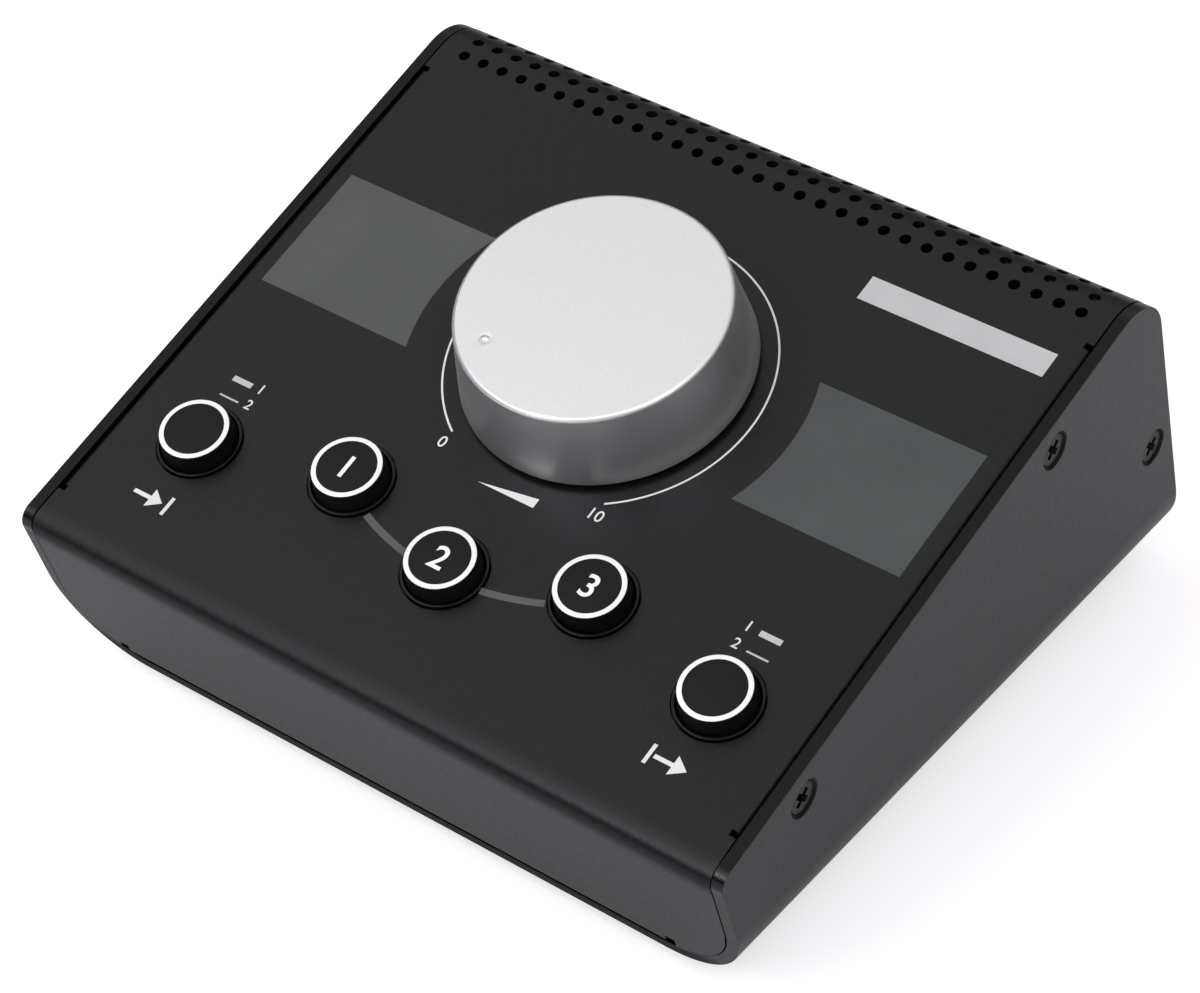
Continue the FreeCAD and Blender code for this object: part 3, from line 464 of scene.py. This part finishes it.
def fold_normal(out, first, last, radius, fades):
    """The normal at a place on a fold, which lies at out from the fold's middle."""
    high, far = out.dot(first), out.dot(last)
    quarter = radius * math.pi / 2
    if far <= 0:
        along = far
    elif high <= 0:
        along = quarter - high
    else:
        along = radius * math.atan2(far, high)

    def turned_until(length):
        length = max(length, 0.0)
        past = max(length - quarter, 0.0)
        return (length * length - past * past) / (2 * radius)

    if any(fades):
        angle = turned_until(along + fades[0]) - turned_until(along - fades[1])
        angle /= sum(fades)
    else:
        angle = min(max(along, 0.0), quarter) / radius
    return first * math.cos(angle) + last * math.sin(angle)


def true_normals(shape, worn, folds):
    """Normals for each corner of each face, as the unworn surfaces have them.

    worn holds the faces that round the edges off. The faces of a fold, and the flat sheet
    beside it where its curvature fades out, take the normals of the round surface.
    """
    def faced(face, vert):
        for middle, first, last, radii, fades in folds:
            across = first.cross(last)
            way = face.calc_center_median() - middle
            way -= across * way.dot(across)
            out = vert.co - middle
            out -= across * out.dot(across)
            for radius in radii:
                found = (abs(way.length - radius) < 0.15 * MM
                         and abs(face.normal.dot(way.normalized())) > 0.995)
                for flank, other in ((first, last), (last, first)) if any(fades) else ():
                    found = found or (abs(face.normal.dot(flank)) > 0.9999
                                      and abs(out.dot(flank) - radius) < 0.02 * MM
                                      and out.dot(other) < 0.01 * MM)
                if found:
                    normal = fold_normal(out, first, last, radius, fades)
                    return normal * (1 if face.normal.dot(normal) > 0 else -1)
        return face.normal

    normals = []
    for face in shape.faces:
        for vert in face.verts:
            around = [other for other in vert.link_faces if other not in worn]
            if face in worn:
                close = [other for other in around if other.normal.dot(face.normal) > 0.2]
                own = face.normal
                if not close:
                    close = [other for other in vert.link_faces
                             if other.normal.dot(face.normal) > 0.5]
            else:
                own = faced(face, vert)
                close = [other for other in around if faced(other, vert).dot(own) > 0.82]
            total = Vector()
            for other in close:
                total += faced(other, vert) * other.calc_area() * 1e6
            normals.append(total.normalized() if total.length > 1e-9 else own)
    return normals


def softened(name, node, slot_name, rounding, segments=2, folds=(), crisp=None,
             prepare=None):
    """A node's own shape with its folded, cut and moulded edges rounded a little.

    crisp picks the edges that are rounded by no more than CRISP. prepare is run on the shape
    before it is rounded.
    """
    shape = bmesh.new()
    shape.from_mesh(nodes[node].data)
    bmesh.ops.remove_doubles(shape, verts=shape.verts, dist=1e-6)
    bmesh.ops.dissolve_limit(shape, angle_limit=math.radians(0.2), verts=shape.verts,
                             edges=shape.edges)
    if prepare:
        prepare(shape)
    for middle, first, last, radii, fades in folds:
        for way, fade in ((last, fades[0]), (first, fades[1])):
            for step in range(1, FADE_STEPS + 1 if fade else 1):
                bmesh.ops.bisect_plane(
                    shape, geom=shape.verts[:] + shape.edges[:] + shape.faces[:], dist=1e-7,
                    plane_co=middle - way * fade * step / FADE_STEPS, plane_no=way)
    mark = shape.faces.layers.int.new("worn")
    for size, wanted in ((rounding, False), (CRISP, True)) if crisp else ((rounding, False),):
        edges = [e for e in shape.edges
                 if len(e.link_faces) == 2 and e.calc_face_angle() > SHARP_EDGE
                 and not any(face[mark] for face in e.link_faces)
                 and bool(crisp and crisp(e)) == wanted]
        made = bmesh.ops.bevel(shape, geom=edges, offset=size * MM, offset_type="OFFSET",
                               segments=segments, profile=0.5, affect="EDGES",
                               clamp_overlap=True, material=-1)
        for face in made["faces"]:
            face[mark] = 1
    normals = true_normals(shape, {face for face in shape.faces if face[mark]}, folds)
    piece = piece_from(shape, name, FINISHES[slot_name], place=UPRIGHT, sharp=180.0)
    piece.data.normals_split_custom_set(normals)
    return stand_in(piece, node)


def turned(outline, rounded=(), steps=96):
    """A closed outline of (radius, height) points spun about the n axis.

    rounded lists (index of the outline's point, radius) for the corners to round off.
    """
    shape = bmesh.new()
    points = [shape.verts.new((radius, 0.0, height)) for radius, height in outline]
    for start, end in zip(points, points[1:] + points[:1]):
        if start.co.x > 0 or end.co.x > 0:
            shape.edges.new((start, end))
    for index, radius in rounded:
        bmesh.ops.bevel(shape, geom=[points[index]], offset=radius, offset_type="OFFSET",
                        segments=5, profile=0.5, affect="VERTICES", material=-1)
    bmesh.ops.spin(shape, geom=shape.verts[:] + shape.edges[:], cent=(0, 0, 0),
                   axis=(0, 0, 1), angle=math.tau, steps=steps, use_merge=True)
    bmesh.ops.remove_doubles(shape, verts=shape.verts, dist=0.0005)
    bmesh.ops.recalc_face_normals(shape, faces=shape.faces)
    return shape


def carved(piece, shape, sharp):
    """Take a shape, which lies in the panel's frame, out of a piece."""
    bmesh.ops.transform(shape, matrix=PANEL, verts=shape.verts)
    cutter_mesh = bpy.data.meshes.new("cutter")
    shape.to_mesh(cutter_mesh)
    shape.free()
    cutter = bpy.data.objects.new("cutter", cutter_mesh)
    bpy.context.scene.collection.objects.link(cutter)
    cut = piece.modifiers.new("cut", "BOOLEAN")
    cut.operation = "DIFFERENCE"
    cut.object = cutter
    cut.solver = "EXACT"
    cut.use_self = True
    bpy.context.view_layer.update()
    result = bpy.data.meshes.new_from_object(
        piece.evaluated_get(bpy.context.evaluated_depsgraph_get()))
    piece.modifiers.clear()
    piece.data = result
    bpy.data.objects.remove(cutter)
    result.shade_smooth()
    result.set_sharp_from_angle(angle=math.radians(sharp))
    levelled = piece.modifiers.new("even_normals", "WEIGHTED_NORMAL")
    levelled.keep_sharp = True


def moved(shape, u=0.0, v=0.0, n=0.0):
    bmesh.ops.translate(shape, vec=(u, v, n), verts=shape.verts)
    return shape


def slab(shape, low, high):
    """Flat faces made a closed film between two heights."""
    bmesh.ops.translate(shape, vec=(0, 0, low), verts=shape.verts)
    raised = bmesh.ops.extrude_face_region(shape, geom=shape.faces[:])["geom"]
    raised = [part for part in raised if isinstance(part, bmesh.types.BMVert)]
    bmesh.ops.translate(shape, vec=(0, 0, high - low), verts=raised)
    bmesh.ops.recalc_face_normals(shape, faces=shape.faces)
    return shape


def gathered(shapes):
    """Several shapes as one."""
    whole = bmesh.new()
    for shape in shapes:
        carried = bpy.data.meshes.new("carried")
        shape.to_mesh(carried)
        shape.free()
        whole.from_mesh(carried)
        bpy.data.meshes.remove(carried)
    return whole


def arc_band(radius, width, start, end, steps=96):
    """Flat band along an arc; angles in degrees, clockwise from straight up the panel."""
    shape = bmesh.new()
    inner = shape.verts.new((0.0, radius - width / 2, 0.0))
    outer = shape.verts.new((0.0, radius + width / 2, 0.0))
    edge = shape.edges.new((inner, outer))
    bmesh.ops.rotate(shape, cent=(0, 0, 0), verts=shape.verts,
                     matrix=Matrix.Rotation(-math.radians(start), 3, "Z"))
    bmesh.ops.spin(shape, geom=[inner, outer, edge], cent=(0, 0, 0), axis=(0, 0, 1),
                   angle=-math.radians(end - start), steps=steps)
    return shape


def bar(u_low, u_high, v_low, v_high):
    """Flat rectangle."""
    shape = bmesh.new()
    bmesh.ops.create_grid(shape, x_segments=1, y_segments=1, size=0.5)
    bmesh.ops.scale(shape, vec=(u_high - u_low, v_high - v_low, 1), verts=shape.verts)
    return moved(shape, (u_low + u_high) / 2, (v_low + v_high) / 2)


def wedge(corners):
    """Flat shape with straight sides."""
    shape = bmesh.new()
    shape.faces.new([shape.verts.new((u, v, 0.0)) for u, v in corners])
    return shape


def figure(text, height, u, v, weight=0.006):
    """Flat figures of a given height, centred on a point."""
    letters = bpy.data.curves.new("figure", "FONT")
    letters.body = text
    letters.resolution_u = 8
    letters.offset = weight
    carrier = bpy.data.objects.new("figure", letters)
    flat = bpy.data.meshes.new_from_object(carrier)
    shape = bmesh.new()
    shape.from_mesh(flat)
    bpy.data.objects.remove(carrier)
    bpy.data.curves.remove(letters)
    bpy.data.meshes.remove(flat)
    bmesh.ops.remove_doubles(shape, verts=shape.verts, dist=1e-5)
    across = [vert.co.x for vert in shape.verts]
    upward = [vert.co.y for vert in shape.verts]
    size = height / (max(upward) - min(upward))
    middle = ((min(across) + max(across)) / 2, (min(upward) + max(upward)) / 2)
    moved(shape, -middle[0], -middle[1])
    bmesh.ops.scale(shape, vec=(size, size, size), verts=shape.verts)
    return moved(shape, u, v)


def printed(name, shapes, ink, place=PANEL, body="desk_box", height=0.0):
    """Marks printed on a face, as a thin film of ink."""
    film = slab(gathered(shapes), height - MARK_DEPTH, height + MARK_DEPTH)
    piece_from(film, name, ink, body, place, 30.0)


# ---- sheet metal ----
def inner_or_by_screw(edge):
    """Whether an edge of the chassis is on its inner side, or round a countersink."""
    middle = PANEL.inverted() @ ((edge.verts[0].co + edge.verts[1].co) / 2)
    if any(math.hypot(middle.y - v, middle.z - n) < 5.0 for v, n in SIDE_SCREWS):
        return True
    for face in edge.link_faces:
        place = face.calc_center_median()
        inward = Vector((-place.x, 0.0, 45.0 * MM - place.z)).normalized()
        if face.normal.dot(inward) > 0.5:
            return True
    return False


def close_front_seam(shape):
    """Bring the cover's right end nearer to the chassis, in front of the slot in it."""
    end = max(vert.co.x for vert in shape.verts)
    for vert in shape.verts:
        if vert.co.x > end - 0.01 * MM and (PANEL.inverted() @ vert.co).y < SEAM_START:
            vert.co.x += SEAM_SHIFT * MM


softened("cover_shell", "top_cover", "black_steel", 0.2,
         folds=[fold(-COVER_FRONT, -1, FRONT_BEND_RADIUS, FRONT_FADES),
                fold(COVER_REAR, 1, REAR_BEND_RADIUS)], prepare=close_front_seam)
chassis = softened("chassis_shell", "lower_chassis", "black_steel", 0.5, segments=3,
                   folds=[fold(-COVER_FRONT, -1, FRONT_BEND_RADIUS),
                          fold(COVER_REAR, 1, REAR_BEND_RADIUS)], crisp=inner_or_by_screw)
chassis.data.materials[0] = CHASSIS_COAT


def side_screws():
    """Countersunk heads that sit a little below the sides, each with a cross recess."""
    whole = []
    cuts = []
    for side in (-1, 1):
        for v, n in SIDE_SCREWS:
            lay = Matrix.Translation((side * SIDE, v, n)) @ Matrix.Rotation(
                side * math.pi / 2, 4, "Y")
            screw = turned([(0.0, SCREW_HEAD), (3.4, SCREW_HEAD), (1.85, -2.05), (1.85, -9.0),
                            (0.0, -9.0)], [(1, 0.12)], steps=64)
            bmesh.ops.transform(screw, matrix=lay, verts=screw.verts)
            whole.append(screw)
            for turn in (30, 120):
                bit = bmesh.new()
                bmesh.ops.create_cube(bit, size=1.0)
                for vert in bit.verts:
                    low = vert.co.z < 0
                    vert.co.x *= 2.4 if low else 4.6
                    vert.co.y *= 0.9 if low else 1.5
                    vert.co.z = -3.2 if low else 0.1
                spin = lay @ Matrix.Rotation(math.radians(turn), 4, "Z")
                bmesh.ops.transform(bit, matrix=spin, verts=bit.verts)
                cuts.append(bit)
    heads = piece_from(gathered(whole), "side_screw_heads", FINISHES["black_screw"])
    carved(heads, gathered(cuts), 30.0)
    stand_in(heads, "side_screws")


side_screws()
softened("hem_screw_heads", "hem_screws", "black_screw", 0.1)
for corner in ("front_left", "front_right", "rear_left", "rear_right"):
    softened("rubber_" + corner, "foot_" + corner, "foot_rubber", 0.5, segments=3)


# ---- volume knob ----
def volume_cap():
    """Turned shell with a rounded upper edge and a finger dimple."""
    outline = [(0.0, KNOB_TOP), (27.5, KNOB_TOP), (29.9, KNOB_LOW), (27.5, KNOB_LOW),
               (25.5, KNOB_SEAT), (0.0, KNOB_SEAT)]
    shape = turned(outline, [(1, 0.9), (2, 0.12)], steps=192)
    cap = piece_from(shape, "volume_cap", FINISHES["knob_aluminium"], "volume_knob")
    hollow = []
    for width, depth in DIMPLE_STEPS:
        ball_radius = (width ** 2 + depth ** 2) / (2 * depth)
        ball = bmesh.new()
        bmesh.ops.create_icosphere(ball, subdivisions=5, radius=ball_radius)
        hollow.append(moved(ball, -DIMPLE_REACH * math.sin(DIMPLE_TURN),
                            -DIMPLE_REACH * math.cos(DIMPLE_TURN),
                            KNOB_TOP - depth + ball_radius))
    carved(cap, gathered(hollow), 12.0)
    stand_in(cap, "knob_cap")


volume_cap()


# ---- push buttons ----
def button(name, u, v, mark=None):
    """Cap with its white ring and mark, and the collar round it."""
    body = name + "_button"
    outline = [(0.0, CAP_TOP), (7.25, CAP_TOP), (7.75, 0.0), (7.75, -3.6), (6.65, -3.6),
               (6.65, 0.0), (6.15, 2.6), (3.2, 2.6), (3.2, CAP_SEAT), (0.0, CAP_SEAT)]
    shape = moved(turned(outline, [(1, 0.3)]), u, v)
    cap = piece_from(shape, name + "_cap", FINISHES["cap_plastic"], body)
    stand_in(cap, name + "_button_cap")
    ring = [(6.12, 4.3), (6.12, 4.43), (6.93, 4.43), (7.1, 4.37), (7.2, 4.24), (6.95, 4.2)]
    shape = moved(turned(ring), u, v)
    piece_from(shape, name + "_cap_ring", RING_PLASTIC, body)
    if mark:
        printed(name + "_cap_mark", [figure(mark, 5.2, u, v, weight=0.012)], RING_PLASTIC,
                body=body, height=CAP_TOP)
    collar = [(8.1, -3.0), (8.7, -3.0), (8.7, -2.1), (10.25, -2.1), (10.25, -1.3), (8.7, -1.3),
              (8.7, 0.65), (8.1, 0.65)]
    shape = moved(turned(collar, [(6, 0.14), (7, 0.12)]), u, v)
    collar = piece_from(shape, name + "_collar", FINISHES["bezel_plastic"])
    stand_in(collar, name + "_bezel")


for name, mark in (("source", None), ("mono", "1"), ("mute", "2"), ("dim", "3"),
                   ("monitor", None)):
    button(name, *BUTTONS[name], mark)


# ---- marks on the panel ----
def writing_field(side):
    """Grey field whose inner edge follows an arc about the knob."""
    half, radius, outer, steps = 15.45, 42.2, 76.9, 24
    spread = math.asin(half / radius)
    shape = bmesh.new()
    start = shape.verts.new((radius * math.cos(spread), -half, 0.0))
    bmesh.ops.spin(shape, geom=[start], cent=(0, 0, 0), axis=(0, 0, 1), angle=2 * spread,
                   steps=steps)
    low, high = shape.verts.new((outer, -half, 0.0)), shape.verts.new((outer, half, 0.0))
    side_edge = shape.edges.new((low, high))
    bmesh.ops.subdivide_edges(shape, edges=[side_edge], cuts=steps - 1)
    bmesh.ops.bridge_loops(shape, edges=shape.edges[:])
    if side < 0:
        bmesh.ops.rotate(shape, cent=(0, 0, 0), verts=shape.verts,
                         matrix=Matrix.Rotation(math.pi, 3, "Z"))
    return shape


def arrow(u, v, pointing):
    """Arrow against a bar: into the box on the left, out of it on the right."""
    head = [(u - 0.2, v + 2.2), (u + 2.9, v), (u - 0.2, v - 2.2)]
    shaft = bar(u - 4.3, u - 0.2, v - 0.45, v + 0.45)
    stop = bar(u + 3.9, u + 4.7, v - 2.2, v + 2.2)
    if pointing == "out":
        stop = bar(u - 5.7, u - 4.9, v - 2.2, v + 2.2)
    return [wedge(head[::-1]), shaft, stop]


printed("writing_field_left", [writing_field(-1)], FIELD_INKS["left"])
printed("writing_field_right", [writing_field(1)], FIELD_INKS["right"])
printed("volume_scale", [arc_band(33.4, 0.4, -146.7, 146.7, 160)], WHITE_INK)
printed("volume_figures", [figure("0", 2.6, -18.6, -30.75),
                           figure("10", 2.6, 18.6, -30.75)], WHITE_INK)
printed("volume_wedge", [wedge([(-6.6, -35.2), (6.6, -35.2), (6.6, -33.0)])], WHITE_INK)
printed("button_link", [arc_band(56.2, 1.5, 157.5, 171.0, 24),
                        arc_band(56.2, 1.5, 189.0, 202.5, 24)], ARC_INK)
printed("select_bars", [bar(-66.25, -61.5, -38.65, -37.35), bar(-66.25, -61.5, -42.7, -42.3),
                        bar(60.9, 65.75, -38.65, -37.35), bar(60.9, 65.75, -42.7, -42.3)],
        PALE_INK)
printed("select_figures", [figure("1", 2.3, -59.2, -37.7),
                           figure("2", 2.3, -59.2, -41.9),
                           figure("1", 2.3, 58.3, -37.7),
                           figure("2", 2.3, 58.3, -41.9)], WHITE_INK)
printed("source_arrow", arrow(-62.6, -69.2, "in"), WHITE_INK)
printed("monitor_arrow", arrow(62.9, -69.2, "out"), WHITE_INK)
printed("label_strip", [bar(34.4, 76.3, 36.0, 42.0)], PALE_INK)

# ---- rear sockets ----
JACKS = ["source_a_left", "source_a_right", "source_b_left", "source_b_right",
         "monitor_a_left", "monitor_a_right", "monitor_b_left", "monitor_b_right"]
for name in JACKS:
    softened(name + "_socket_body", name + "_jack", "jack_plastic", 0.15)
softened("mini_socket_body", "source_b_mini_jack", "jack_plastic", 0.12)
softened("socket_washers", "jack_washers", "nickel", 0.12)
softened("socket_nuts", "jack_nuts", "nickel", 0.3)
softened("mini_socket_nut", "mini_jack_nut", "nickel", 0.25)


def rear_marks():
    """Figures over the sockets, and a line that joins each pair."""
    shapes = []
    places = [-64.5, -48.0, -31.5, -15.0, 15.0, 31.5, 48.0, 64.5]
    for number, place in enumerate(reversed(places), 1):
        shapes.append(figure(str(number), 2.8, place, 12.2))
    for first, second in ((-64.5, -48.0), (-31.5, -15.0), (15.0, 31.5), (48.0, 64.5)):
        shapes.append(bar(first, second, 16.0, 16.4))
        shapes.append(bar(first, first + 0.4, 14.8, 16.0))
        shapes.append(bar(second - 0.4, second, 14.8, 16.0))
    return shapes


printed("rear_marks", rear_marks(), WHITE_INK, REAR_FACE)


# ---- floor, light and camera ----
def stage_floor():
    """White floor that keeps the object's shadow."""
    shape = bmesh.new()
    bmesh.ops.create_grid(shape, x_segments=1, y_segments=1, size=30.0)
    moved(shape, n=-0.05 * MM)
    mesh = bpy.data.meshes.new("studio_floor")
    shape.to_mesh(mesh)
    shape.free()
    material = bpy.data.materials.new("studio_floor")
    material.use_nodes = True
    tree = material.node_tree
    shader = tree.nodes["Principled BSDF"]
    shader.inputs["Roughness"].default_value = 1.0
    shader.inputs["Specular IOR Level"].default_value = 0.0
    shader.inputs["Base Color"].default_value = (0.82, 0.785, 0.83, 1.0)
    shader.inputs["Emission Color"].default_value = (1.0, 1.0, 1.0, 1.0)
    path = add(tree, "ShaderNodeLightPath")
    straight = either(tree, path.outputs["Is Camera Ray"], path.outputs["Is Transmission Ray"])
    glow = chosen(tree, straight, chosen(tree, path.outputs["Is Glossy Ray"], 0.0, 0.13), 0.55)
    join(tree, (glow, shader.inputs["Emission Strength"]))
    mesh.materials.append(material)
    floor = bpy.data.objects.new("studio_floor", mesh)
    bpy.context.scene.collection.objects.link(floor)


def studio_world():
    """White seen directly; in gloss, white overhead that falls off to the horizon."""
    world = bpy.data.worlds.new("studio")
    bpy.context.scene.world = world
    world.use_nodes = True
    tree = world.node_tree
    path = add(tree, "ShaderNodeLightPath")
    where = add(tree, "ShaderNodeNewGeometry")
    apart = add(tree, "ShaderNodeSeparateXYZ")
    fall = add(tree, "ShaderNodeMapRange", {"From Min": -0.8, "From Max": -0.2,
                                            "To Min": 0.95, "To Max": 0.03})
    join(
        tree,
        (where.outputs["Incoming"], apart.inputs[0]),
        (apart.outputs["Z"], fall.inputs["Value"]),
    )
    straight = either(tree, path.outputs["Is Camera Ray"], path.outputs["Is Transmission Ray"])
    glossy = chosen(tree, path.outputs["Is Glossy Ray"], 0.5, fall.outputs["Result"])
    join(tree, (chosen(tree, straight, glossy, 1.0),
                tree.nodes["Background"].inputs["Strength"]))
    tree.nodes["Background"].inputs["Color"].default_value = (1.0, 1.0, 1.0, 1.0)


def softbox(name, place, target, size, power):
    light = bpy.data.lights.new(name, "AREA")
    light.shape = "SQUARE"
    light.size = size
    light.energy = power
    lamp = bpy.data.objects.new(name, light)
    lamp.location = place
    lamp.rotation_euler = (Vector(target) - Vector(place)).to_track_quat("-Z", "Y").to_euler()
    bpy.context.scene.collection.objects.link(lamp)


def studio_camera():
    lens = bpy.data.cameras.new("studio_camera")
    lens.sensor_width = 36.0
    lens.lens = 108.183
    lens.clip_start = 0.01
    lens.clip_end = 50.0
    camera = bpy.data.objects.new("studio_camera", lens)
    camera.location = (0.328168, -0.456458, 0.497494)
    camera.rotation_euler = [math.radians(turn) for turn in (50.38165, -0.34647, 36.47119)]
    bpy.context.scene.collection.objects.link(camera)
    bpy.context.scene.camera = camera


stage_floor()
studio_world()
softbox("left_softbox", (-0.95, -0.8, 1.55), (0.0, 0.0, 0.05), 1.3, 6.8)
softbox("front_softbox", (-0.35, -1.41, 1.18), (0.0, 0.0, 0.05), 0.7, 8.5)
softbox("right_softbox", (0.85, -0.55, 1.4), (0.0, 0.0, 0.05), 0.7, 5.5)
studio_camera()
bpy.context.scene.view_settings.view_transform = "Standard"
